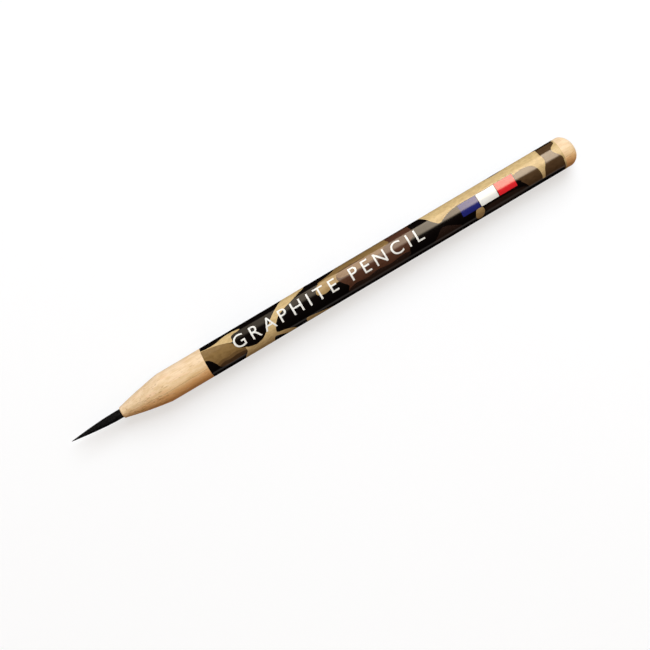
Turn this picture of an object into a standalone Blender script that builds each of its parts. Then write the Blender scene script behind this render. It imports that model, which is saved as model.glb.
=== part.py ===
"""A sharpened round graphite pencil with a bare wood point and a printed film round its barrel.

Metres, +Z up. The pencil lies along X with its graphite point towards +X. The origin is halfway
along it, on the surface that it lies on. Distances called "from_tip" run from the graphite's
point towards the blunt end.

Its round pieces have SIDES flats each, and their radii are measured to the flats, so a flat of
the film is down and the pencil rests on it.
"""
import math

import bmesh
import bpy
from mathutils import Matrix, Vector

# Driving dimensions
LENGTH = 0.2343
BARREL_RADIUS = 0.00645
LEAD_RADIUS = 0.0019
SIDES = 32

# Along the pencil, from the tip
LEAD_TAPER = 0.0205
WOOD_START = 0.0234
CONE_START = 0.0243
CONE_END = 0.0431
FILM_START = 0.063
FILM_END = 0.2277

# Sections
LEAD_TIP_RADIUS = 0.0001
LEAD_TAPER_POWER = 1.6
NOSE_RADIUS = 0.0023
CONE_START_RADIUS = 0.00265
CONE_FULLNESS = 0.27
BLUNT_EDGE_RADIUS = 0.0042
SEAM_TILT = math.radians(22.5)

# Thin layers and the play between pieces
PLAY = 0.00003
FILM_THICKNESS = 0.00005
GLUE_TUBE_WALL = 0.00006
GLUE_SHEET_THICKNESS = 0.0001

WOOD_RADIUS = BARREL_RADIUS - FILM_THICKNESS - PLAY
GLUE_INNER_RADIUS = LEAD_RADIUS + PLAY
GLUE_OUTER_RADIUS = GLUE_INNER_RADIUS + GLUE_TUBE_WALL
GROOVE_RADIUS = GLUE_OUTER_RADIUS + PLAY
SEAM_CLEARANCE = GLUE_SHEET_THICKNESS / 2 + PLAY

# How finely curved outlines are divided
TAPER_STEPS = 10
NOSE_STEPS = 3
CONE_STEPS = 8
EDGE_STEPS = 7

# Cutters reach past what they cut
CUTTER_REACH = 0.004

COLOURS = {
    "graphite": ((0.02, 0.02, 0.022), 0.45, 0.2),
    "bare_wood": ((0.78, 0.58, 0.38), 0.65, 0.0),
    "glue": ((0.55, 0.38, 0.2), 0.5, 0.0),
    "printed_film": ((0.2, 0.14, 0.07), 0.2, 0.0),
}


def clear_scene():
    for old in list(bpy.data.objects):
        bpy.data.objects.remove(old, do_unlink=True)


def make_material(name):
    colour, roughness, metallic = COLOURS[name]
    material = bpy.data.materials.new(name)
    material.use_nodes = True
    shader = material.node_tree.nodes["Principled BSDF"]
    shader.inputs["Base Color"].default_value = (*colour, 1.0)
    shader.inputs["Roughness"].default_value = roughness
    shader.inputs["Metallic"].default_value = metallic
    return material


def new_object(name, bm, material=None):
    """Turn a bmesh into a smooth-shaded object that stands at the pencil's axis."""
    bmesh.ops.recalc_face_normals(bm, faces=bm.faces)
    mesh = bpy.data.meshes.new(name)
    bm.to_mesh(mesh)
    bm.free()
    mesh.shade_smooth()
    mesh.set_sharp_from_angle(angle=math.radians(30))
    if material:
        mesh.materials.append(material)
    made = bpy.data.objects.new(name, mesh)
    made.location = (0, 0, BARREL_RADIUS)
    bpy.context.collection.objects.link(made)
    return made


def make_guide(guide):
    """Mark an object as a cutter, which shapes others and isn't a piece itself."""
    guide.hide_render = True
    guide.display_type = 'WIRE'
    return guide


def ring_points(from_tip, radius):
    """One ring of corners round the axis, with its flats at the given radius."""
    corner_radius = radius / math.cos(math.pi / SIDES)
    x = LENGTH / 2 - from_tip
    points = []
    for side in range(SIDES):
        angle = 2 * math.pi * (side + 0.5) / SIDES
        points.append((x, corner_radius * math.cos(angle), corner_radius * math.sin(angle)))
    return points


def turned(name, outline, material=None, hollow=False):
    """Turn an outline of (from_tip, radius) points round the axis.

    A hollow outline is a loop, whose last point joins the first. Any other is closed by a flat
    face at each end.
    """
    bm = bmesh.new()
    rings = [[bm.verts.new(point) for point in ring_points(*station)] for station in outline]
    pairs = list(zip(rings, rings[1:]))
    if hollow:
        pairs.append((rings[-1], rings[0]))
    else:
        bm.faces.new(rings[0])
        bm.faces.new(rings[-1])
    for ring, next_ring in pairs:
        for side in range(SIDES):
            after = (side + 1) % SIDES
            bm.faces.new((ring[side], ring[after], next_ring[after], next_ring[side]))
    return new_object(name, bm, material)


def box(name, low, high, material=None):
    """A box between two corners, given about the axis and tilted with the seam."""
    bm = bmesh.new()
    bmesh.ops.create_cube(bm, size=1)
    size = Vector(high) - Vector(low)
    centre = (Vector(high) + Vector(low)) / 2
    bmesh.ops.scale(bm, vec=size, verts=bm.verts)
    bmesh.ops.translate(bm, vec=centre, verts=bm.verts)
    bmesh.ops.rotate(bm, matrix=Matrix.Rotation(-SEAM_TILT, 3, 'X'), verts=bm.verts)
    return new_object(name, bm, material)


def add_boolean(target, operation, tool):
    modifier = target.modifiers.new(operation.lower(), 'BOOLEAN')
    modifier.operation = operation
    modifier.solver = 'EXACT'
    modifier.object = tool


def lead_outline():
    """The graphite: a long point that fills out into a plain round rod."""
    outline = []
    for step in range(TAPER_STEPS + 1):
        share = (step / TAPER_STEPS) ** 1.3
        grown = 1 - (1 - share) ** LEAD_TAPER_POWER
        radius = LEAD_TIP_RADIUS + (LEAD_RADIUS - LEAD_TIP_RADIUS) * grown
        outline.append((share * LEAD_TAPER, radius))
    outline.append((LENGTH, LEAD_RADIUS))
    return outline


def wood_outline():
    """The wood's outside: a rounded nose, a slightly full cone, the barrel and its blunt edge."""
    outline = []
    for step in range(NOSE_STEPS):
        angle = math.pi / 2 * step / NOSE_STEPS
        outline.append((WOOD_START + (CONE_START - WOOD_START) * (1 - math.cos(angle)),
                        NOSE_RADIUS + (CONE_START_RADIUS - NOSE_RADIUS) * math.sin(angle)))
    for step in range(CONE_STEPS + 1):
        share = step / CONE_STEPS
        grown = share + CONE_FULLNESS * share * (1 - share)
        outline.append((CONE_START + (CONE_END - CONE_START) * share,
                        CONE_START_RADIUS + (WOOD_RADIUS - CONE_START_RADIUS) * grown))
    for step in range(EDGE_STEPS + 1):
        angle = math.pi / 2 * step / EDGE_STEPS
        outline.append((LENGTH - BLUNT_EDGE_RADIUS * (1 - math.sin(angle)),
                        WOOD_RADIUS - BLUNT_EDGE_RADIUS * (1 - math.cos(angle))))
    return outline


def tube_outline(start, end, inner, outer):
    return [(start, inner), (start, outer), (end, outer), (end, inner)]


def build_lead():
    return turned("graphite_lead", lead_outline(), make_material("graphite"))


def build_casing_halves():
    """Two grooved slats: the lead's wooden casing, split along the seam."""
    wood = make_material("bare_wood")
    groove = [(LENGTH, GROOVE_RADIUS), (WOOD_START, GROOVE_RADIUS)]
    reach = LENGTH / 2 + CUTTER_REACH
    width = BARREL_RADIUS + CUTTER_REACH
    sides = {
        "casing_half_left": (-width, SEAM_CLEARANCE),
        "casing_half_right": (-SEAM_CLEARANCE, width),
    }
    for name, (low, high) in sides.items():
        half = turned(name, wood_outline() + groove, wood, hollow=True)
        cutter = box(name + "_cutter", (-reach, low, -width), (reach, high, width))
        add_boolean(half, 'DIFFERENCE', make_guide(cutter))


def build_glue():
    """The glue: a sheet in the seam and a thin tube that beds the lead in its grooves."""
    reach = LENGTH / 2 + CUTTER_REACH
    half_sheet = GLUE_SHEET_THICKNESS / 2
    width = BARREL_RADIUS + CUTTER_REACH
    glue = box("glue_line", (-reach, -half_sheet, -width), (reach, half_sheet, width),
               make_material("glue"))
    blank = turned("glue_blank", wood_outline())
    tube = turned("glue_tube", [(WOOD_START, GLUE_OUTER_RADIUS), (LENGTH, GLUE_OUTER_RADIUS)])
    bore = turned("glue_bore", [(WOOD_START - CUTTER_REACH, GLUE_INNER_RADIUS),
                                (LENGTH + CUTTER_REACH, GLUE_INNER_RADIUS)])
    add_boolean(glue, 'INTERSECT', make_guide(blank))
    add_boolean(glue, 'UNION', make_guide(tube))
    add_boolean(glue, 'DIFFERENCE', make_guide(bore))


def build_film():
    outline = tube_outline(FILM_START, FILM_END, BARREL_RADIUS - FILM_THICKNESS, BARREL_RADIUS)
    return turned("printed_film", outline, make_material("printed_film"), hollow=True)


def build_pencil():
    clear_scene()
    build_lead()
    build_casing_halves()
    build_glue()
    build_film()


build_pencil()
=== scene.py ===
"""The looks of the graphite pencil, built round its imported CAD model.

Metres, +Z up, the pencil lying along X with its point towards +X. Places on the pencil are given
as (millimetres from the tip, degrees round the axis): 0 degrees is straight up, and positive
angles turn towards +Y.
"""
import math

import bmesh
import bpy
from mathutils import Matrix, Vector, noise
from mathutils.geometry import delaunay_2d_cdt


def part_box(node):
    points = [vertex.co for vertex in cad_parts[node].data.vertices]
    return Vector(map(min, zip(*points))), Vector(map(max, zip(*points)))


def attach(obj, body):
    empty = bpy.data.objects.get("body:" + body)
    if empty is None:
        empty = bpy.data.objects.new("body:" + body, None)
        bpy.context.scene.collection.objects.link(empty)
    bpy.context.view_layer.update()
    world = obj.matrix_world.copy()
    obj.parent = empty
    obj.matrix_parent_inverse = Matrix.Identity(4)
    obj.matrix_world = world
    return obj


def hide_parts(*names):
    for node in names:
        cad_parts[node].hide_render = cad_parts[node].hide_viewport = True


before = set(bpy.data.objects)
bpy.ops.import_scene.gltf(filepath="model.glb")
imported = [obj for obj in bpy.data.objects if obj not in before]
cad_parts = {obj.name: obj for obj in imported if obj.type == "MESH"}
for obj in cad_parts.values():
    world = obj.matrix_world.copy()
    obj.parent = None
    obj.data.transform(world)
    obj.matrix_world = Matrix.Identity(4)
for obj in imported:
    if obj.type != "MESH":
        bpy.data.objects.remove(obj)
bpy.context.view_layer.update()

MM = 0.001

# The pencil's own sizes, from the CAD model
LEAD_LOW, LEAD_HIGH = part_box("graphite_lead")
WOOD_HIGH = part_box("casing_half_left")[1]
FILM_LOW, FILM_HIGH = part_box("printed_film")
TIP_X = LEAD_HIGH[0]
LENGTH = (LEAD_HIGH[0] - LEAD_LOW[0]) / MM
AXIS_Z = (FILM_LOW[2] + FILM_HIGH[2]) / 2
BARREL_RADIUS = (FILM_HIGH[2] - FILM_LOW[2]) / 2 / MM
HALF_TURN = math.pi * BARREL_RADIUS
LEAD_RADIUS = (LEAD_HIGH[2] - LEAD_LOW[2]) / 2 / MM
WOOD_START = (TIP_X - WOOD_HIGH[0]) / MM
FILM_START = (TIP_X - FILM_HIGH[0]) / MM
FILM_END = (TIP_X - FILM_LOW[0]) / MM

# Radii of the layers, in millimetres
INK_RADIUS = BARREL_RADIUS - 0.002
FILM_RADIUS = BARREL_RADIUS - 0.012
INK_INNER_RADIUS = FILM_RADIUS + 0.002
FILM_INNER_RADIUS = BARREL_RADIUS - 0.05
WOOD_RADIUS = BARREL_RADIUS - 0.07
GROOVE_RADIUS = LEAD_RADIUS + 0.12
GLUE_TUBE_RADIUS = LEAD_RADIUS + 0.09
GLUE_BORE_RADIUS = LEAD_RADIUS + 0.03

# The seam between the casing's halves, and the glue in it
SEAM_ANGLE = 22.5
SEAM_CLEARANCE = 0.06
GLUE_HALF_THICKNESS = 0.05
GLUE_INSET = 0.1
GLUE_RIM_INSET = 0.03

# The lead, in millimetres
LEAD_TIP_RADIUS = 0.09
LEAD_TIP_LEAN = 0.33
LEAD_TAPER = 20.5
LEAD_TAPER_POWER = 1.6
LEAD_GRAIN = 0.014
LEAD_GRAIN_FADE = 0.8
LEAD_END_INSET = 0.02

# The wood's two ends, in millimetres
CONE_START = 24.3
CONE_END = 43.1
NOSE_RADIUS = 2.3
CONE_START_RADIUS = 2.65
CONE_FULLNESS = 0.27
BLUNT_EDGE_RADIUS = 4.2
BLUNT_EDGE_POWER = 1.7

# How far off square the blunt end and the film's start are cut, as slopes
BLUNT_END_SKEW = 0.06
FILM_CUT_SKEW = 0.031
FILM_CUT_REACH = 4.0

# The bare wood's surface, smooth beside the film and rough from a little further out
SMOOTH_BESIDE_FILM = 0.2
ROUGH_BESIDE_FILM = 1.2
FIBRE_HEIGHT = 0.012
BARREL_SMOOTHING = 0.75
TORN_ANGLE = 47.0
TORN_DEPTH = 0.13

# How knife cuts differ: unevenly spread, shorter, shallower, and wandering round by some degrees
CUT_UNEVENNESS = 0.6
SHORTEST_CUT = 0.65
SHALLOWEST_CUT = 0.5
CUT_DRIFT = 16.0

# How finely the pieces are divided. Hidden rings are few, and placed in millimetres from the tip.
LEAD_SIDES = 72
LEAD_TIP_RINGS = 15
LEAD_TIP_SPACING = 0.04
LEAD_RING_SPACING = 0.25
LEAD_POINT_STEPS = 84
LEAD_HIDDEN_RINGS = [60, 150]
HIDDEN_RING = 140
WOOD_HALF_SIDES = 118
NOSE_STEPS = 8
WOOD_RING_SPACING = 0.18
CONE_STEPS = 210
BLUNT_END_STEPS = 26
BLUNT_EDGE_STEPS = 12
RING_UNDER_FILM = 2
GLUE_HALF_SIDES = 24
GLUE_STEPS = 60
GLUE_EDGE_SHARES = (0, 0.5, 0.8, 0.98)


def srgb(red, green, blue):
    """A colour as it looks on a screen, 0 to 255, as the linear value that shaders take."""
    linear = []
    for value in (red, green, blue):
        share = value / 255
        linear.append(share / 12.92 if share <= 0.04045 else ((share + 0.055) / 1.055) ** 2.4)
    return (*linear, 1.0)


INKS = {
    "black": srgb(13, 9, 8),
    "dark_brown": srgb(44, 31, 25),
    "brown": srgb(82, 52, 38),
    "dark_olive": srgb(84, 62, 40),
    "russet": srgb(124, 90, 58),
    "moss": srgb(118, 91, 56),
    "olive": srgb(138, 109, 66),
    "khaki": srgb(176, 146, 98),
    "tan": srgb(214, 185, 132),
}

# The camouflage, laid over black, each patch over those before it. A few darker patches over others are
# painted shade towards +Y. Outlines run through points of (millimetres from the tip, degrees round the
# axis), and are rounded between them.
CAMOUFLAGE = [
    # the side that faces up
    ("olive", [(61, -51), (67, -43), (72, -32), (76, -13), (77, 0), (78, 16), (81, 28), (80, 40),
               (78.6, 50), (74, 53), (69.5, 51), (67.8, 44), (66.9, 26), (65, 2), (61, -17)]),
    # moss and dark_olive darken the olive patch in steps towards +Y, the side away from the key lamp:
    # painted shade.
    ("moss", [(67.1, 28), (69.5, 20), (72, 23), (75, 19), (79, 24), (80.8, 30), (80, 40), (78.6, 50),
              (74, 53), (69.5, 51), (67.8, 44)]),
    ("dark_olive", [(67.7, 37), (70, 31), (73, 34), (76, 31), (79.5, 35), (80.2, 40), (78.6, 50),
                    (74, 53), (69.5, 51), (68, 45)]),
    ("tan", [(61, -53), (66, -46), (70.5, -47), (73, -54), (75.5, -58), (79, -56), (81.5, -49),
             (80.5, -44), (78.5, -43), (77, -36), (76.6, -16), (74, -24), (71, -33), (67, -42),
             (61, -50)]),
    ("tan", [(80, 26), (82, 32), (84.5, 37), (87.5, 31), (89.5, 20), (91.5, 6), (93.5, -12), (96, -30),
             (98.5, -48), (100.5, -66), (102.5, -92), (104.5, -122), (109.5, -130), (113.5, -116),
             (112, -90), (111.5, -68), (108.5, -52), (105, -38), (101.5, -27), (98, -14),
             (96, 0), (94.5, 18), (94, 38), (97, 45), (100, 57), (101.5, 75), (100.5, 98),
             (93.5, 108), (85.5, 112), (79.5, 104), (77.5, 86), (78.5, 62), (80, 42)]),
    ("black", [(92.5, 51), (94.5, 57), (96.5, 68), (98, 84), (95.5, 94), (92, 90), (91.5, 70)]),
    ("tan", [(107, 52), (110, 55), (113.5, 63), (117.5, 76), (119.5, 92), (112.5, 98), (107, 88),
             (106.5, 68)]),
    ("olive", [(126.5, -90), (125.5, -66), (122.5, -54), (117.5, -45), (120.5, -36), (135, -34),
               (151, -34), (150, -60), (149.5, -85), (147.5, -112), (138.5, -124), (130.5, -114)]),
    ("khaki", [(118.5, -43), (116.5, -34), (115.5, -22), (115, -8), (116.5, 3), (119.5, 4),
               (122, -4), (126, -10), (128, -24), (126, -37), (122.5, -44)]),
    ("brown", [(126, -33), (131, -36), (139, -37), (149.5, -37), (149.5, -60), (149.5, -86),
               (152.5, -106), (158.5, -110), (161.5, -88), (160, -62), (160.5, -36), (160, -16),
               (157.5, 2), (156, 25), (155, 45), (151, 58), (140, 62), (130, 56), (127, 44),
               (128, 24), (126.5, 6), (125, -14)]),
    ("brown", [(126, -41), (129, -43), (133, -43), (139, -40), (133, -39)]),
    ("russet", [(126, -36), (133, -39), (141, -37.5), (147, -36), (146.5, -26), (142, -16), (134, -11),
                (127.5, -14), (125.6, -24)]),
    # dark_brown darkens the brown patch towards +Y, the side away from the key lamp: painted shade.
    ("dark_brown", [(127.5, 38), (131, 29), (136, 33), (141, 27), (147, 32), (152, 26), (155.8, 30),
                    (155, 45), (151, 58), (140, 62), (130, 56), (127, 46)]),
    ("tan", [(164, -100), (166, -68), (168, -38), (169.5, -18), (171.5, -4), (174, -12),
             (176.5, -21), (180.5, -27), (189.5, -26), (199, -18), (205, -12), (207, 8), (211, 26),
             (215.5, 46), (217.5, 59), (219, 44), (222.5, 62), (226.5, 96), (233.5, 100), (233.5, -100),
             (215.5, -108), (200.5, -96), (186.5, -104), (174.5, -112)]),
    ("brown", [(195.5, -90), (198, -73), (202, -72), (205.5, -90), (201.5, -102)]),
    ("dark_olive", [(206, -15), (209, -22), (212, -21), (214.5, -12), (216, 6), (216.5, 26),
                    (216.5, 46), (215.5, 62), (213, 72), (210.5, 56), (209.5, 38), (208, 20),
                    (206, 4)]),
    ("dark_olive", [(220, -92), (219.5, -62), (219.5, -34), (220, -12), (219.5, 6), (218.5, 22),
                    (218, 40), (217.5, 56), (217.5, 74), (219.5, 98), (224.5, 102), (226.5, 84),
                    (227, 62), (227, 36), (227, 14), (226, 0), (225, -12), (224.5, -24),
                    (225, -36), (227, -50), (227, -68), (226, -92), (222.5, -104)]),
    ("black", [(219, -98), (219, -74), (223, -67), (227, -71), (227.5, -98), (223.5, -106)]),
    # This black band darkens the dark olive patches towards +Y, from about 54 degrees: painted shade.
    ("black", [(204, 60), (208, 55), (214, 53.5), (220, 54), (225, 56), (226.3, 62), (226, 80),
               (226.5, 100), (215, 112), (204, 106), (200, 84)]),
    ("black", [(180.6, -27.4), (180.9, -28), (193, -28), (206, -28), (206.2, -27.4), (206.2, 0),
               (206.2, 20), (180.6, 20), (180.6, 0)]),
    ("dark_brown", [(173.5, -8), (176.5, -19), (180, -25), (182, -20), (182, -6), (178, 0), (174.5, -2)]),
    ("khaki", [(186, 36), (186.6, 25), (188, 22), (189.5, 25), (189.9, 38), (189.3, 54), (188.2, 66),
               (187, 70), (186, 62), (185.6, 48)]),
    ("dark_brown", [(190.5, 34), (199.5, 30), (207, 36), (209.5, 52), (204, 66), (194, 64)]),
    ("dark_brown", [(169.5, 26), (171.4, 15), (174.6, 22), (179, 47), (176, 58), (170, 64), (166, 56),
                    (168, 38)]),
    # the side that faces down
    ("tan", [(61, 166), (63, 150), (70, 146), (76, 138), (83, 134), (89, 140), (93, 152), (99, 158),
             (106, 154), (112, 146), (118, 150), (116, 162), (109, 170), (101, 174), (93, 172),
             (86, 160), (80, 154), (73, 160), (66, 168)]),
    ("olive", [(70, 186), (78, 180), (86, 184), (90, 194), (98, 198), (104, 192), (110, 198), (108, 212),
               (100, 220), (91, 216), (84, 208), (76, 210), (69, 204), (66, 194)]),
    ("brown", [(70, -138), (76, -132), (84, -136), (88, -128), (95, -126), (101, -118), (99, -108),
               (92, -104), (87, -110), (80, -108), (74, -98), (67, -100), (66, -118)]),
    ("olive", [(86, 116), (94, 118), (100, 126), (108, 122), (112, 130), (106, 138), (97, 138),
               (89, 130), (83, 122)]),
    ("tan", [(118, 112), (124, 104), (131, 108), (136, 120), (144, 128), (151, 124), (156, 132),
             (153, 144), (145, 150), (138, 146), (130, 138), (122, 136), (116, 124)]),
    ("olive", [(122, 170), (130, 160), (138, 162), (142, 172), (150, 176), (157, 170), (163, 178),
               (160, 192), (151, 198), (143, 190), (136, 188), (128, 194), (121, 186)]),
    ("russet", [(134, 98), (142, 80), (153, 84), (160, 96), (168, 106), (165, 122), (155, 120),
                (148, 110), (140, 112)]),
    ("khaki", [(104, -150), (112, -158), (119, -150), (126, -146), (133, -152), (138, -142),
               (133, -132), (124, -134), (116, -138), (108, -134)]),
    ("brown", [(140, -150), (148, -158), (157, -152), (163, -142), (171, -140), (178, -146),
               (184, -138), (180, -126), (171, -120), (162, -126), (154, -134), (146, -136)]),
    ("olive", [(171, 98), (176, 82), (184, 86), (190, 102), (197, 108), (203, 100), (207, 110),
               (201, 126), (190, 130), (181, 124), (174, 124), (170, 112)]),
    ("tan", [(168, 150), (176, 140), (184, 144), (189, 156), (197, 160), (205, 150), (210, 158),
             (206, 174), (197, 178), (189, 172), (181, 176), (173, 170), (167, 160)]),
    ("tan", [(186, -150), (193, -158), (201, -150), (206, -140), (203, -128), (194, -132),
             (188, -138)]),
    ("olive", [(196, 196), (204, 186), (212, 190), (218, 200), (226, 204), (233, 198), (233, 222),
               (224, 226), (214, 220), (206, 212), (199, 208)]),
    ("khaki", [(208, 128), (212, 112), (218, 106), (223, 112), (233, 108), (233, 152), (224, 156),
               (216, 148), (210, 144)]),
]

# How finely the film is divided: along an outline, and along and round the barrel
OUTLINE_STEP = 0.45
FILM_GRID = (1.5, 5.625)
SAME_POINT = 1e-6
SAME_ANGLE = 1e-3

# The printed marks: plain colour blocks, and a plain grade mark that is cut into rows, from below
# its letters' feet to above their heads
BLOCK_ANGLES = (-26, 22)
BLOCK_START = 180.9
BLOCK_PITCH = 8.4
BLOCK_LENGTH = 8.1
BLOCK_STEPS = (8, 20)
GRADE_MARK = "GRAPHITE PENCIL"
MARK_START = 76.3
MARK_BASELINE = 17.0
MARK_SIZE = 7.9
MARK_SPACING = 1.42
MARK_ROWS = (-2, 6, 24)
MARK_CURVE_STEPS = 6
MARK_WELD = 1e-4
MARK_SNAP = 1e-5

# The camera, over the pencil, with the point at the lower left
CAMERA_HEIGHT = 0.42
VIEW_CENTRE = (111.7, 11.2)
VIEW_WIDTH = 0.262
SENSOR_WIDTH = 36.0
PENCIL_TILT = math.radians(30.61)

# The studio, in metres
FLOOR_RINGS = (0.4, 1.0)
FLOOR_RADIUS = 2.2
FLOOR_DROP = 0.00002
FLOOR_SIDES = 96
COVE_RADIUS = 1.2
COVE_STEPS = 12
WALL_HEIGHT = 3.0
SKY_STRENGTH = 0.52
SKY_FAR_SHARE = 0.6
SKY_COLOUR = (1.0, 0.81, 0.63, 1)


# ---------------------------------------------------------------- places and shapes

def blend_in(value, low, high):
    """0 below low, 1 above high, and a smooth step between them."""
    share = min(max((value - low) / (high - low), 0), 1)
    return share * share * (3 - 2 * share)


def on_pencil(from_tip, angle, radius):
    """The point at millimetres from the tip, degrees round the axis and millimetres from it.

    The blunt end and the film's start are cut a little off square, so points there move in, most
    towards -Y.
    """
    turn = math.radians(angle)
    aside = radius * math.sin(turn)
    cut = 1 - blend_in(abs(from_tip - FILM_START), 0, FILM_CUT_REACH)
    skew = FILM_CUT_SKEW * cut - BLUNT_END_SKEW * blend_in(from_tip, FILM_END, LENGTH)
    along = from_tip + skew * (BARREL_RADIUS - aside)
    return Vector((TIP_X - along * MM, aside * MM, AXIS_Z + radius * MM * math.cos(turn)))


def steps(start, end, count):
    """Evenly spaced values from start to end, both included."""
    return [start + (end - start) * step / count for step in range(count + 1)]


def whittled(radius, from_tip, angle, cuts):
    """The radius after flat knife cuts, deepest halfway along, that drift round by some degrees."""
    cut_radius = radius
    for cut_angle, depth, start, end, drift in cuts:
        along = (from_tip - start) / (end - start)
        facing = math.cos(math.radians(angle - cut_angle - drift * (along - 0.5)))
        if 0 < along < 1 and facing > 0:
            reach = depth * math.sqrt(math.sin(math.pi * along))
            cut_radius = min(cut_radius, radius * (1 - reach) / facing)
    return cut_radius


def random_share(*seed):
    """A repeatable number from 0 to 1 for a list of whole numbers."""
    mixed = math.sin(sum((index + 1) * 12.9898 * value for index, value in enumerate(seed)) + 4.1)
    return (mixed * 43758.5453) % 1


def knife_cuts(count, seed, depth, start, end):
    """Flat cuts of (angle, depth share, start, end, drift) all round the pencil."""
    cuts = []
    for index in range(count):
        turn, shorter, shift, deeper, wander = (random_share(index, seed + draw) for draw in range(5))
        angle = 360 * (index + CUT_UNEVENNESS * turn) / count
        length = (end - start) * (SHORTEST_CUT + (1 - SHORTEST_CUT) * shorter)
        first = start + (end - start - length) * shift
        drift = CUT_DRIFT * (wander - 0.5)
        cuts.append((angle, depth * (SHALLOWEST_CUT + deeper), first, first + length, drift))
    return cuts


LEAD_CUTS = knife_cuts(count=9, seed=3, depth=0.035, start=-4, end=25)
CONE_CUTS = knife_cuts(count=11, seed=20, depth=0.014, start=23, end=39)
CONE_CUTS += knife_cuts(count=13, seed=41, depth=0.012, start=31, end=46)


def lead_point(from_tip, angle, radius):
    """A point of the lead, whose whittled tip is a little off the pencil's axis."""
    lean = LEAD_TIP_LEAN * max(1 - from_tip / LEAD_TAPER, 0)
    return on_pencil(from_tip, angle, radius) - Vector((0, lean * MM, 0))


def lead_radius(from_tip, angle):
    """The graphite's surface: a long full taper, whittled and grainy as far as the wood."""
    share = min(from_tip / LEAD_TAPER, 1)
    radius = LEAD_TIP_RADIUS + (LEAD_RADIUS - LEAD_TIP_RADIUS) * (1 - (1 - share) ** LEAD_TAPER_POWER)
    radius = whittled(radius, from_tip, angle, LEAD_CUTS)
    place = on_pencil(from_tip, angle, radius) / MM
    fade = 1 - blend_in(from_tip, WOOD_START - LEAD_GRAIN_FADE, WOOD_START)
    grain = noise.noise(place * 3.1) + 0.5 * noise.noise(place * 7.3)
    return radius * (1 + fade * LEAD_GRAIN * (grain - 0.6))


def wood_profile(from_tip):
    """The wood's outline: a rounded nose, a slightly full cone, the barrel and its blunt edge."""
    if from_tip < CONE_START:
        share = (from_tip - WOOD_START) / (CONE_START - WOOD_START)
        return NOSE_RADIUS + (CONE_START_RADIUS - NOSE_RADIUS) * math.sqrt(max(share, 0) * (2 - share))
    if from_tip < CONE_END:
        share = (from_tip - CONE_START) / (CONE_END - CONE_START)
        grown = share + CONE_FULLNESS * share * (1 - share)
        return CONE_START_RADIUS + (WOOD_RADIUS - CONE_START_RADIUS) * grown
    share = min(max(from_tip - (LENGTH - BLUNT_EDGE_RADIUS), 0) / BLUNT_EDGE_RADIUS, 1)
    left = (1 - share ** BLUNT_EDGE_POWER) ** (1 / BLUNT_EDGE_POWER)
    return WOOD_RADIUS - BLUNT_EDGE_RADIUS * (1 - left)


def fibre_noise(place, along, across, shift=0.0):
    """Noise at a place in millimetres, at one scale along the grain and another across it."""
    return noise.noise(Vector((place.x * along, place.y * across + shift, place.z * across)))


def torn_grain(from_tip, angle):
    """How deeply fibres are torn out, 0 to 1: most on the cone, where the knife met the grain.

    They are torn where the fibres' noise passes a limit, which is lowest round TORN_ANGLE.
    """
    place = on_pencil(from_tip, angle, wood_profile(from_tip)) / MM
    cone = blend_in(from_tip, WOOD_START, WOOD_START + 3)
    cone *= 1 - blend_in(from_tip, CONE_END - 4, CONE_END + 9)
    worst = math.cos(math.radians((angle - TORN_ANGLE) / 2)) ** 8
    patchy = 0.6 + fibre_noise(place, 0.2, 0.5, 9)
    fibres = fibre_noise(place, 0.4, 2.9, 40) + 0.6 * fibre_noise(place, 0.85, 5.8, 7)
    limit = 0.62 - cone * (0.06 + 0.56 * worst * patchy)
    return min(max(fibres - limit, 0) * 2.5, 1)


def wood_radius(from_tip, angle):
    """The bare wood's surface: knife flats, raised fibres and torn grain."""
    radius = whittled(wood_profile(from_tip), from_tip, angle, CONE_CUTS)
    bare = 1 - blend_in(from_tip, FILM_START - ROUGH_BESIDE_FILM, FILM_START - SMOOTH_BESIDE_FILM)
    bare += blend_in(from_tip, FILM_END + SMOOTH_BESIDE_FILM, FILM_END + ROUGH_BESIDE_FILM)
    if bare == 0:
        return radius
    place = on_pencil(from_tip, angle, radius) / MM
    fibres = fibre_noise(place, 0.35, 5)
    height = FIBRE_HEIGHT * (1 - BARREL_SMOOTHING * blend_in(from_tip, CONE_END - 3, CONE_END + 7))
    return radius - bare * (height * (1 + fibres) + TORN_DEPTH * torn_grain(from_tip, angle))


# ---------------------------------------------------------------- meshes

def finished(name, bm, sharp_angle=40):
    """Make an object of a bmesh, smooth except along edges sharper than the angle."""
    mesh = bpy.data.meshes.new(name)
    bm.to_mesh(mesh)
    bm.free()
    mesh.shade_smooth()
    mesh.set_sharp_from_angle(angle=math.radians(sharp_angle))
    made = bpy.data.objects.new(name, mesh)
    bpy.context.collection.objects.link(made)
    return made


def loft(bm, loops):
    """Skin closed loops of the same number of points, and return their vertices."""
    rings = [[bm.verts.new(point) for point in points] for points in loops]
    for ring, following in zip(rings, rings[1:]):
        for here in range(len(ring)):
            after = (here + 1) % len(ring)
            bm.faces.new((ring[here], ring[after], following[after], following[here]))
    return rings


def build_lead():
    """The graphite: a whittled point on a round rod that runs to the blunt end."""
    stations = [LEAD_TIP_SPACING * step ** 1.5 for step in range(1, LEAD_TIP_RINGS + 1)]
    stations += steps(stations[-1] + LEAD_RING_SPACING, CONE_START, LEAD_POINT_STEPS)
    stations += LEAD_HIDDEN_RINGS + [LENGTH - LEAD_END_INSET]
    angles = [360 * side / LEAD_SIDES for side in range(LEAD_SIDES)]
    loops = [[lead_point(from_tip, angle, lead_radius(from_tip, angle)) for angle in angles]
             for from_tip in stations]
    bm = bmesh.new()
    tip = bm.verts.new(lead_point(0, 0, 0))
    rings = loft(bm, loops)
    for here in range(LEAD_SIDES):
        bm.faces.new((tip, rings[0][(here + 1) % LEAD_SIDES], rings[0][here]))
    bm.faces.new(rings[-1])
    bmesh.ops.recalc_face_normals(bm, faces=bm.faces)
    return finished("lead_rod", bm, sharp_angle=50)


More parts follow.
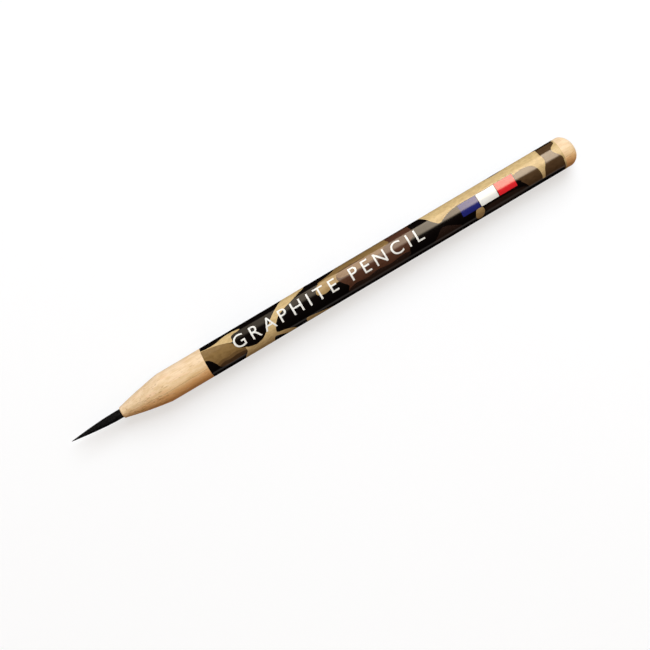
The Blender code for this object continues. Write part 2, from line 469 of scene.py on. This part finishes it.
def wood_stations():
    """Distances from the tip of the wood's rings: close together where it is bare."""
    stations = steps(WOOD_START, CONE_START, NOSE_STEPS)
    stations += steps(CONE_START + WOOD_RING_SPACING, FILM_START, CONE_STEPS)
    stations += [FILM_START + RING_UNDER_FILM, HIDDEN_RING, FILM_END - RING_UNDER_FILM]
    stations += steps(FILM_END, LENGTH - BLUNT_EDGE_RADIUS, BLUNT_END_STEPS)
    return stations + [LENGTH - BLUNT_EDGE_RADIUS * (1 - math.sin(turn))
                       for turn in steps(0, math.pi / 2, BLUNT_EDGE_STEPS)[1:]]


def build_wood_half(name, seam_angle):
    """One grooved slat: the half turn of casing that starts at the seam angle."""
    bm = bmesh.new()
    loops = []
    for from_tip in wood_stations():
        edge = math.degrees(math.asin(SEAM_CLEARANCE / wood_profile(from_tip)))
        outer = [on_pencil(from_tip, angle, wood_radius(from_tip, angle))
                 for angle in steps(seam_angle + edge, seam_angle + 180 - edge, WOOD_HALF_SIDES)]
        edge = math.degrees(math.asin(SEAM_CLEARANCE / GROOVE_RADIUS))
        inner = [on_pencil(from_tip, angle, GROOVE_RADIUS)
                 for angle in steps(seam_angle + 180 - edge, seam_angle + edge, WOOD_HALF_SIDES)]
        loops.append(outer + inner)
    rings = loft(bm, loops)
    for ring in (rings[0], rings[-1]):
        for here in range(WOOD_HALF_SIDES):
            bm.faces.new((ring[here], ring[here + 1], ring[-here - 2], ring[-here - 1]))
    mark_torn_grain(bm)
    bmesh.ops.recalc_face_normals(bm, faces=bm.faces)
    return finished(name, bm)


def mark_torn_grain(bm):
    """Write how torn the wood is at each vertex outside the groove, for its material."""
    torn_layer = bm.verts.layers.float.new("torn")
    for vert in bm.verts:
        aside = vert.co - Vector((vert.co.x, 0, AXIS_Z))
        if aside.length > (GROOVE_RADIUS + 0.1) * MM:
            angle = math.degrees(math.atan2(aside.y, aside.z))
            vert[torn_layer] = torn_grain((TIP_X - vert.co.x) / MM, angle)


def build_glue():
    """The glue: a sheet in the seam, with a thin tube between the lead and its grooves."""
    edge = math.degrees(math.asin(GLUE_HALF_THICKNESS / GLUE_TUBE_RADIUS))
    stations = steps(WOOD_START + GLUE_INSET, CONE_END + 1, GLUE_STEPS)
    stations += [FILM_START, HIDDEN_RING, FILM_END]
    stations += [LENGTH - BLUNT_EDGE_RADIUS * (1 - share) for share in GLUE_EDGE_SHARES]
    outer_loops = []
    inner_loops = []
    for from_tip in stations:
        loop = []
        for seam in (SEAM_ANGLE, SEAM_ANGLE + 180):
            rim = wood_radius(from_tip, seam) - GLUE_RIM_INSET
            lean = math.degrees(math.asin(GLUE_HALF_THICKNESS / rim))
            loop += [on_pencil(from_tip, seam - lean, rim), on_pencil(from_tip, seam + lean, rim)]
            loop += [on_pencil(from_tip, angle, GLUE_TUBE_RADIUS)
                     for angle in steps(seam + edge, seam + 180 - edge, GLUE_HALF_SIDES)]
        outer_loops.append(loop)
        inner_loops.append([on_pencil(from_tip, -360 * side / GLUE_HALF_SIDES, GLUE_BORE_RADIUS)
                            for side in range(GLUE_HALF_SIDES)])
    bm = bmesh.new()
    outer = loft(bm, outer_loops)
    inner = loft(bm, inner_loops)
    for end in (0, -1):
        rim = []
        for ring in (outer[end], inner[end]):
            rim += [bm.edges.get((ring[here - 1], ring[here])) for here in range(len(ring))]
        bmesh.ops.triangle_fill(bm, use_beauty=True, use_dissolve=False, edges=rim)
    bmesh.ops.recalc_face_normals(bm, faces=bm.faces)
    return finished("glue_sheet", bm, sharp_angle=30)


def wrapped_solid(name, flat, outer_radius, inner_radius, face_inks=None):
    """Wrap a flat bmesh of (millimetres from the tip, degrees) round the pencil as a thin solid.

    face_inks holds one colour for each flat face; without it they are all white. The shading
    follows the round barrel exactly.
    """
    inks = face_inks or [(1, 1, 1, 1)] * len(flat.faces)
    flat.faces.index_update()
    bm = bmesh.new()
    ink_layer = bm.loops.layers.float_color.new("ink")
    outer = {vert: bm.verts.new(on_pencil(vert.co.x, vert.co.y, outer_radius)) for vert in flat.verts}
    inner = {vert: bm.verts.new(on_pencil(vert.co.x, vert.co.y, inner_radius)) for vert in flat.verts}
    for face in flat.faces:
        front = bm.faces.new([outer[vert] for vert in face.verts])
        back = bm.faces.new([inner[vert] for vert in reversed(face.verts)])
        for loop in (*front.loops, *back.loops):
            loop[ink_layer] = inks[face.index]
    for edge in flat.edges:
        if edge.is_boundary:
            first, second = edge.verts
            side = bm.faces.new((outer[first], outer[second], inner[second], inner[first]))
            for loop in side.loops:
                loop[ink_layer] = inks[edge.link_faces[0].index]
    flat.free()
    bmesh.ops.recalc_face_normals(bm, faces=bm.faces)
    made = finished(name, bm)
    mesh = made.data
    middle = (outer_radius + inner_radius) / 2 * MM
    normals = []
    for polygon in mesh.polygons:
        offset = polygon.center - Vector((polygon.center.x, 0, AXIS_Z))
        on_rim = abs(polygon.normal.dot(offset.normalized())) < math.cos(math.radians(45))
        for index in polygon.loop_indices:
            corner = mesh.vertices[mesh.loops[index].vertex_index].co
            outward = Vector((0, corner.y, corner.z - AXIS_Z))
            if on_rim:
                normals.append(polygon.normal)
            else:
                normals.append(outward.normalized() * (1 if outward.length > middle else -1))
    mesh.normals_split_custom_set(normals)
    return made


def smooth_outline(points):
    """Round a closed outline of (mm, degrees) with a Catmull-Rom curve, run anticlockwise."""
    to_arc = math.radians(1) * BARREL_RADIUS
    flat = [Vector((from_tip, angle * to_arc)) for from_tip, angle in points]
    if sum(flat[index - 1].cross(here) for index, here in enumerate(flat)) < 0:
        flat.reverse()
    rounded = []
    for index, here in enumerate(flat):
        before, after = flat[index - 1], flat[(index + 1) % len(flat)]
        beyond = flat[(index + 2) % len(flat)]
        count = max(2, round((after - here).length / OUTLINE_STEP))
        for step in range(count):
            share = step / count
            rounded.append(0.5 * (2 * here + (after - before) * share
                                  + (2 * before - 5 * here + 4 * after - beyond) * share ** 2
                                  + (3 * here - before - 3 * after + beyond) * share ** 3))
    return rounded


def film_grid():
    """An even grid of points over the flat film, in columns, and the edges that bound it."""
    along = steps(FILM_START, FILM_END, round((FILM_END - FILM_START) / FILM_GRID[0]))
    across = steps(-HALF_TURN, HALF_TURN, round(360 / FILM_GRID[1]))
    points = [Vector((from_tip, arc)) for from_tip in along for arc in across]
    rows = len(across)
    last = len(along) - 1
    edges = [(row, row + 1) for row in range(rows - 1)]
    edges += [(last * rows + row, last * rows + row + 1) for row in range(rows - 1)]
    for start in (0, rows - 1):
        edges += [(column * rows + start, (column + 1) * rows + start) for column in range(last)]
    return points, edges


def camouflage_outlines():
    """The patches as (ink, rounded outline), each wherever it shows on the flat film."""
    patches = []
    for ink, outline in CAMOUFLAGE:
        rounded = smooth_outline(outline)
        for turn in (-1, 0, 1):
            moved = [point + Vector((0, 2 * turn * HALF_TURN)) for point in rounded]
            low, high = min(point.y for point in moved), max(point.y for point in moved)
            if low < HALF_TURN and high > -HALF_TURN:
                patches.append((INKS[ink], moved))
    return patches


def build_film():
    """The printed film: one thin sleeve, whose outside is divided along the patches' outlines."""
    points, edges = film_grid()
    outlines = []
    inks = []
    for ink, outline in camouflage_outlines():
        outlines.append(list(range(len(points), len(points) + len(outline))))
        points += outline
        inks.append(ink)
    found, _, triangles, _, _, holders = delaunay_2d_cdt(points, edges, outlines, 0, SAME_POINT)
    flat = bmesh.new()
    verts = [flat.verts.new((point.x, math.degrees(point.y / BARREL_RADIUS), 0)) for point in found]
    face_inks = []
    for triangle, inside in zip(triangles, holders):
        centre = sum((found[index] for index in triangle), Vector((0, 0))) / 3
        if FILM_START < centre.x < FILM_END and abs(centre.y) < HALF_TURN:
            flat.faces.new([verts[index] for index in triangle])
            face_inks.append(inks[max(inside)] if inside else INKS["black"])
    loose = [vert for vert in flat.verts if not vert.link_faces]
    bmesh.ops.delete(flat, geom=loose, context='VERTS')
    join_turn(flat)
    return wrapped_solid("film_sleeve", flat, FILM_RADIUS, FILM_INNER_RADIUS, face_inks)


def join_turn(flat):
    """Weld the flat sheet's two long edges, which are the same line on the barrel."""
    top = [vert for vert in flat.verts if abs(vert.co.y - 180) < SAME_ANGLE]
    bottom = [vert for vert in flat.verts if abs(vert.co.y + 180) < SAME_ANGLE]
    targets = {vert: min(bottom, key=lambda other: abs(other.co.x - vert.co.x)) for vert in top}
    bmesh.ops.weld_verts(flat, targetmap=targets)


def build_block(name, start):
    """One printed colour block, divided finely enough to lie on the barrel."""
    flat = bmesh.new()
    along, across = BLOCK_STEPS
    rings = [[flat.verts.new((from_tip, angle, 0)) for angle in steps(*BLOCK_ANGLES, across)]
             for from_tip in steps(start, start + BLOCK_LENGTH, along)]
    for ring, following in zip(rings, rings[1:]):
        for here in range(len(ring) - 1):
            flat.faces.new((ring[here], ring[here + 1], following[here + 1], following[here]))
    return wrapped_solid(name, flat, INK_RADIUS, INK_INNER_RADIUS)


def build_mark():
    """The plain grade mark, cut into rows and wrapped on the barrel with its feet towards +Y."""
    text = bpy.data.curves.new("grade_text", 'FONT')
    text.body = GRADE_MARK
    text.size = MARK_SIZE
    text.space_character = MARK_SPACING
    text.resolution_u = MARK_CURVE_STEPS
    writer = bpy.data.objects.new("grade_text", text)
    bpy.context.collection.objects.link(writer)
    bpy.context.view_layer.update()
    letters = bpy.data.meshes.new_from_object(writer.evaluated_get(bpy.context.evaluated_depsgraph_get()))
    bpy.data.objects.remove(writer, do_unlink=True)
    flat = bmesh.new()
    flat.from_mesh(letters)
    bmesh.ops.remove_doubles(flat, verts=flat.verts, dist=MARK_WELD)
    for level in steps(*MARK_ROWS):
        everything = flat.verts[:] + flat.edges[:] + flat.faces[:]
        bmesh.ops.bisect_plane(flat, geom=everything, dist=MARK_SNAP,
                               plane_co=(0, level, 0), plane_no=(0, 1, 0))
    to_degrees = math.degrees(1 / BARREL_RADIUS)
    for vert in flat.verts:
        vert.co = Vector((MARK_START + vert.co.x, MARK_BASELINE - vert.co.y * to_degrees, 0))
    return wrapped_solid("print_grade_mark", flat, INK_RADIUS, INK_INNER_RADIUS)


# ---------------------------------------------------------------- materials

class Nodes:
    """A small helper that adds and links the nodes of a material, a lamp or a world."""

    def __init__(self, owner, shader="Principled BSDF"):
        owner.use_nodes = True
        self.owner = owner
        self.tree = owner.node_tree
        self.shader = self.tree.nodes[shader]

    def add(self, kind, settings=None, **inputs):
        """Add a node. Inputs are named with _ for each space, and take a value or a socket."""
        node = self.tree.nodes.new(kind)
        for key, value in (settings or {}).items():
            setattr(node, key, value)
        for key, value in inputs.items():
            self.put(node.inputs[key.replace("_", " ")], value)
        return node

    def put(self, socket, value):
        """Link a socket to an input, or set the input's value."""
        if isinstance(value, bpy.types.NodeSocket):
            self.tree.links.new(value, socket)
        else:
            socket.default_value = value

    def shade(self, name, value):
        """Link a socket to an input of the shader, or set the input's value."""
        self.put(self.shader.inputs[name], value)

    def stretched(self, x, y, z):
        """Object coordinates in millimetres, scaled along each axis."""
        place = self.add("ShaderNodeTexCoord").outputs["Object"]
        return self.add("ShaderNodeMapping", Vector=place, Scale=(x / MM, y / MM, z / MM)).outputs["Vector"]

    def noise(self, vector, detail, roughness=0.5):
        return self.add("ShaderNodeTexNoise", Vector=vector, Scale=1.0, Detail=detail,
                        Roughness=roughness).outputs["Fac"]

    def ramp(self, factor, low, high, at_low=0.0, at_high=1.0):
        """Map a value range smoothly on to another."""
        node = self.add("ShaderNodeMapRange", {"interpolation_type": 'SMOOTHSTEP'}, Value=factor)
        for key, value in (("From Min", low), ("From Max", high), ("To Min", at_low), ("To Max", at_high)):
            node.inputs[key].default_value = value
        return node.outputs["Result"]

    def mix(self, factor, first, second, blend='MIX'):
        node = self.add("ShaderNodeMix", {"data_type": 'RGBA', "blend_type": blend})
        self.put(node.inputs["Factor"], factor)
        colours = [socket for socket in node.inputs if socket.type == 'RGBA']
        self.put(colours[0], first)
        self.put(colours[1], second)
        return [socket for socket in node.outputs if socket.type == 'RGBA'][0]

    def maths(self, operation, first, second):
        node = self.add("ShaderNodeMath", {"operation": operation})
        self.put(node.inputs[0], first)
        self.put(node.inputs[1], second)
        return node.outputs[0]

    def bump(self, height, distance, strength):
        node = self.add("ShaderNodeBump", Height=height, Distance=distance, Strength=strength)
        self.shade("Normal", node.outputs["Normal"])


def wood_material():
    """Bare pale softwood: mottled, with fine fibres and darker torn grain, and painted shade: warmer,
    darker and orange towards +Y, and in the torn grain's pits.
    """
    made = Nodes(bpy.data.materials.new("bare_whittled_wood"))
    tone = made.noise(made.stretched(0.22, 0.75, 0.75), 3, 0.6)
    colour = made.mix(made.ramp(tone, 0.36, 0.66), srgb(241, 213, 177), srgb(229, 197, 154))
    blush = made.noise(made.stretched(0.12, 0.45, 0.45), 2, 0.5)
    colour = made.mix(made.ramp(blush, 0.52, 0.72, 0.0, 0.35), colour, srgb(246, 203, 168))
    # Painted shade: the wood turns warmer and darker towards +Y, the side away from the key lamp, with an
    # orange band of painted shade along that side whose edge wanders.
    wander = made.noise(made.stretched(0.04, 0.3, 0.3), 2, 0.5)
    aside = made.add("ShaderNodeSeparateXYZ", Vector=made.stretched(1, 1, 1)).outputs["Y"]
    colour = made.mix(made.ramp(aside, -3.0, 4.5), colour, (1.0, 0.95, 0.76, 1), 'MULTIPLY')
    shade_band = made.ramp(made.maths('ADD', aside, made.maths('MULTIPLY', wander, 4.0)), 2.6, 8.0)
    colour = made.mix(made.maths('MULTIPLY', shade_band, 0.85), colour, srgb(239, 170, 100))
    fibres = made.noise(made.stretched(0.4, 6, 6), 4, 0.65)
    colour = made.mix(made.ramp(fibres, 0.5, 0.75, 0.0, 0.35), colour, srgb(206, 162, 114))
    streaks = made.noise(made.stretched(0.3, 2.6, 2.6), 3, 0.6)
    colour = made.mix(made.ramp(streaks, 0.55, 0.8, 0.0, 0.35), colour, srgb(255, 240, 214))
    lines = made.noise(made.stretched(0.14, 3.4, 3.4), 2, 0.5)
    colour = made.mix(made.ramp(lines, 0.62, 0.74, 0.0, 0.35), colour, srgb(184, 134, 84))
    # Torn grain is darker: partly the torn fibres' own colour, partly painted shade in its pits.
    torn = made.add("ShaderNodeAttribute", {"attribute_name": "torn"}).outputs["Fac"]
    colour = made.mix(made.ramp(torn, 0.03, 0.8, 0.0, 0.55), colour, srgb(160, 112, 66))
    made.shade("Base Color", colour)
    made.shade("Roughness", made.ramp(fibres, 0.2, 0.8, 0.55, 0.8))
    made.bump(fibres, 0.00012, 0.8)
    made.shade("Specular IOR Level", 0.15)
    return made.owner


def graphite_material():
    """Baked graphite: matt black, with fine grains that catch the light."""
    made = Nodes(bpy.data.materials.new("graphite_black"))
    grains = made.add("ShaderNodeTexVoronoi", Vector=made.stretched(5, 6.5, 6.5), Scale=1.0)
    chance = made.add("ShaderNodeSeparateColor", Color=grains.outputs["Color"]).outputs["Red"]
    sparkle = made.ramp(chance, 0.93, 1.0)
    body = made.noise(made.stretched(2, 3, 3), 4, 0.7)
    colour = made.mix(made.ramp(body, 0.4, 0.8), (0.002, 0.002, 0.0023, 1), (0.007, 0.007, 0.008, 1))
    colour = made.mix(made.maths('MULTIPLY', sparkle, 0.4), colour, (0.12, 0.12, 0.13, 1))
    made.shade("Base Color", colour)
    made.shade("Roughness", made.ramp(sparkle, 0.0, 1.0, 0.58, 0.28))
    made.shade("Specular IOR Level", 0.06)
    made.bump(made.maths('ADD', body, grains.outputs["Distance"]), 0.00009, 0.7)
    return made.owner


def gloss(made, coat):
    """The film's clear gloss: a hard coat with faint smears, over slightly uneven film."""
    smears = made.noise(made.stretched(0.05, 0.5, 0.5), 3, 0.6)
    made.shade("Roughness", made.ramp(smears, 0.3, 0.7, 0.2, 0.28))
    made.shade("Specular IOR Level", 0.0)
    made.shade("Coat Weight", coat)
    made.shade("Coat Roughness", 0.1)
    ripple = made.noise(made.stretched(0.1, 0.8, 0.8), 2, 0.5)
    dust = made.noise(made.stretched(3, 3, 3), 2, 0.5)
    made.bump(made.maths('ADD', ripple, made.maths('MULTIPLY', dust, 0.06)), 0.00003, 0.6)


def film_material():
    """The camouflage print, with a few patches of painted shade: each patch's own ink, slightly mottled,
    and glossier where it is dark.
    """
    made = Nodes(bpy.data.materials.new("camouflage_print"))
    ink = made.add("ShaderNodeAttribute", {"attribute_name": "ink"}).outputs["Color"]
    mottle = made.noise(made.stretched(0.5, 0.9, 0.9), 4, 0.6)
    colour = made.mix(made.ramp(mottle, 0.35, 0.7, 0.0, 0.3), ink, (0.35, 0.24, 0.12, 1), 'MULTIPLY')
    lines = made.noise(made.stretched(0.2, 11, 11), 2, 0.5)
    colour = made.mix(made.ramp(lines, 0.35, 0.7, 0.0, 0.12), colour, (0.5, 0.38, 0.22, 1), 'MULTIPLY')
    made.shade("Base Color", colour)
    paleness = made.add("ShaderNodeRGBToBW", Color=ink).outputs["Val"]
    gloss(made, made.ramp(paleness, 0.1, 0.45, 1.0, 0.4))
    return made.owner


def ink_material(name, colour, worn, coat):
    """A printed ink that covers a little unevenly, under the film's gloss."""
    made = Nodes(bpy.data.materials.new(name))
    cover = made.noise(made.stretched(1.4, 1.4, 1.4), 4, 0.65)
    wear = made.ramp(cover, 0.45, 0.8, 0.0, 0.5)
    made.shade("Base Color", made.mix(wear, colour, worn))
    gloss(made, coat)
    return made.owner


def glue_material():
    """Dried wood glue: amber and faintly streaked."""
    made = Nodes(bpy.data.materials.new("dried_glue"))
    tone = made.noise(made.stretched(0.4, 3, 3), 3, 0.6)
    made.shade("Base Color", made.mix(made.ramp(tone, 0.35, 0.7), srgb(170, 122, 78), srgb(200, 156, 108)))
    made.shade("Roughness", made.ramp(tone, 0.3, 0.7, 0.45, 0.7))
    made.bump(tone, 0.00005, 0.5)
    return made.owner


def floor_material():
    """A pale translucent table, lit a little from below, so that shadows stay faint."""
    made = Nodes(bpy.data.materials.new("studio_floor"))
    tone = made.noise(made.stretched(0.004, 0.004, 0.004), 2)
    made.shade("Base Color", made.mix(tone, (0.38, 0.38, 0.38, 1), (0.4, 0.4, 0.4, 1)))
    made.shade("Emission Color", (1.0, 1.0, 1.0, 1))
    made.shade("Emission Strength", 0.6)
    made.shade("Roughness", 0.9)
    made.shade("Specular IOR Level", 0.1)
    return made.owner


# ---------------------------------------------------------------- the pencil

def add_piece(piece, material, slot, *nodes):
    """Give a piece its material and its body, and hide the nodes that it stands for. The slot is not used.
    """
    piece.data.materials.append(material)
    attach(piece, "root")
    if nodes:
        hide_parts(*nodes)


def build_pencil():
    """Every piece of the pencil, from the lead outwards."""
    wood = wood_material()
    add_piece(build_lead(), graphite_material(), "graphite", "graphite_lead")
    add_piece(build_wood_half("wood_slat_left", SEAM_ANGLE), wood, "bare_wood", "casing_half_left")
    add_piece(build_wood_half("wood_slat_right", SEAM_ANGLE - 180), wood, "bare_wood", "casing_half_right")
    add_piece(build_glue(), glue_material(), "glue", "glue_line")
    add_piece(build_film(), film_material(), "printed_film", "printed_film")
    white = ink_material("white_ink", srgb(236, 234, 226), srgb(206, 202, 192), 0.6)
    blue = ink_material("blue_ink", srgb(34, 38, 108), srgb(24, 28, 84), 1.0)
    red = ink_material("red_ink", srgb(222, 38, 44), srgb(196, 28, 36), 1.0)
    add_piece(build_mark(), white, "printed_film")
    for index, (name, ink) in enumerate((("blue", blue), ("white", white), ("red", red))):
        block = build_block("print_block_" + name, BLOCK_START + BLOCK_PITCH * index)
        add_piece(block, ink, "printed_film")


# ---------------------------------------------------------------- camera, floor and light

def build_camera():
    """A camera straight above the pencil, turned so that the pencil rises to the right."""
    data = bpy.data.cameras.new("camera")
    data.sensor_width = SENSOR_WIDTH
    data.lens = data.sensor_width * CAMERA_HEIGHT / VIEW_WIDTH
    camera = bpy.data.objects.new("camera", data)
    along, aside = VIEW_CENTRE
    cosine, sine = math.cos(PENCIL_TILT), math.sin(PENCIL_TILT)
    turned = Matrix(((-cosine, -sine, 0), (sine, -cosine, 0), (0, 0, 1))).to_4x4()
    at = Vector((TIP_X - along * MM, aside * MM, AXIS_Z + CAMERA_HEIGHT))
    camera.matrix_world = Matrix.Translation(at) @ turned
    bpy.context.collection.objects.link(camera)
    bpy.context.scene.camera = camera


def build_floor():
    """A round table that sweeps up into a wall, so that every side has a plain background.

    It takes shadows and shows to the camera, but neither lights the pencil nor blocks a lamp.
    """
    outline = [(radius, 0) for radius in FLOOR_RINGS]
    outline += [(FLOOR_RADIUS + COVE_RADIUS * math.sin(turn), COVE_RADIUS * (1 - math.cos(turn)))
                for turn in steps(0, math.pi / 2, COVE_STEPS)]
    outline.append((FLOOR_RADIUS + COVE_RADIUS, WALL_HEIGHT))
    turns = [2 * math.pi * side / FLOOR_SIDES for side in range(FLOOR_SIDES)]
    loops = [[Vector((radius * math.cos(turn), radius * math.sin(turn), height - FLOOR_DROP))
              for turn in turns] for radius, height in outline]
    bm = bmesh.new()
    rings = loft(bm, loops)
    bm.faces.new(rings[0])
    bmesh.ops.recalc_face_normals(bm, faces=bm.faces)
    bmesh.ops.reverse_faces(bm, faces=bm.faces)
    floor = finished("floor", bm)
    floor.data.materials.append(floor_material())
    floor.visible_glossy = False
    floor.visible_diffuse = False
    floor.visible_shadow = False


def area_light(name, at, towards, size, roll=0.0):
    """A rectangular lamp at a place, turned to face another, and rolled about that line."""
    data = bpy.data.lights.new(name, 'AREA')
    data.shape = 'RECTANGLE'
    data.size, data.size_y = size
    lamp = bpy.data.objects.new(name, data)
    down = (Vector(towards) - Vector(at)).normalized()
    side = Vector((1, 0, 0))
    side = (side - down * side.dot(down)).normalized()
    up = (-down).cross(side)
    turned = Matrix((side, up, -down)).transposed().to_4x4() @ Matrix.Rotation(roll, 4, 'Z')
    lamp.matrix_world = Matrix.Translation(at) @ turned
    lamp.visible_camera = False
    bpy.context.collection.objects.link(lamp)
    return lamp


def key_light(name, at, size, share, colour):
    """A lamp that lights surfaces: a share of full brightness on a white face turned to it."""
    lamp = area_light(name, at, (0, 0, 0), size)
    lamp.visible_glossy = False
    lamp.data.energy = share * (math.pi * Vector(at).length) ** 2
    lamp.data.color = colour


def glint(name, at, size, roll, radiance, colour, brightness, soft_edge):
    """A lamp seen only in gloss, like a window beside the pencil.

    brightness is a list of (place along X, share of the radiance). The upper edge fades over
    soft_edge, a share of half the lamp's width.
    """
    lamp = area_light(name, at, (at[0], 0, AXIS_Z), size, roll)
    lamp.visible_diffuse = False
    lamp.data.energy = radiance * math.pi * size[0] * size[1]
    lamp.data.color = colour
    made = Nodes(lamp.data, "Emission")
    place = made.add("ShaderNodeNewGeometry").outputs["Position"]
    along = made.add("ShaderNodeSeparateXYZ", Vector=place).outputs["X"]
    (first, share), *later = brightness
    level = share
    for second, next_share in later:
        level = made.maths('ADD', level, made.ramp(along, second, first, next_share - share, 0.0))
        first, share = second, next_share
    across = lamp.matrix_world.to_3x3() @ Vector((0, 1, 0))
    offset = made.add("ShaderNodeVectorMath", {"operation": 'DOT_PRODUCT'})
    made.put(offset.inputs[0], place)
    made.put(offset.inputs[1], across)
    edge = across.dot(Vector(at)) + size[1] / 2
    fade = made.ramp(offset.outputs["Value"], edge - soft_edge * size[1] / 2, edge, 1.0, 0.0)
    made.shade("Strength", made.maths('MULTIPLY', level, fade))


def build_sky():
    """A pale dome above the floor, warmer than the key lamp, dimmer towards +Y and dark below."""
    world = bpy.data.worlds.new("studio")
    bpy.context.scene.world = world
    world.cycles_visibility.glossy = False
    made = Nodes(world, "Background")
    place = made.add("ShaderNodeTexCoord").outputs["Generated"]
    direction = made.add("ShaderNodeSeparateXYZ", Vector=place)
    dome = made.ramp(direction.outputs["Z"], -0.12, 0.04, 0.06, SKY_STRENGTH)
    side = made.ramp(direction.outputs["Y"], -0.2, 0.9, 1.0, SKY_FAR_SHARE)
    made.shade("Strength", made.maths('MULTIPLY', dome, side))
    made.shade("Color", SKY_COLOUR)


def build_light():
    """The window and the table as the gloss shows them, a soft key lamp and the sky."""
    glint("window", at=(-0.164, -0.415, 0.566), size=(2.6, 0.59), roll=math.radians(-55),
          radiance=12.5, colour=(1.0, 0.84, 0.64), soft_edge=0.54,
          brightness=[(0.12, 0.07), (0.0, 0.16), (-0.05, 0.46), (-0.13, 0.45), (-0.175, 0.6),
                      (-0.25, 0.95), (-0.3, 0.86)])
    glint("table_glow", at=(0, 1.52, -0.5), size=(4.2, 0.6), roll=0, radiance=0.38,
          colour=(1.0, 0.9, 0.84), soft_edge=0.8, brightness=[(0, 1.0)])
    key_light("key", at=(-0.75, -0.95, 1.3), size=(1.3, 1.3), share=1.18, colour=(0.77, 0.88, 1.0))
    build_sky()
    bpy.context.scene.view_settings.view_transform = 'Standard'


build_camera()
build_floor()
build_light()
build_pencil()
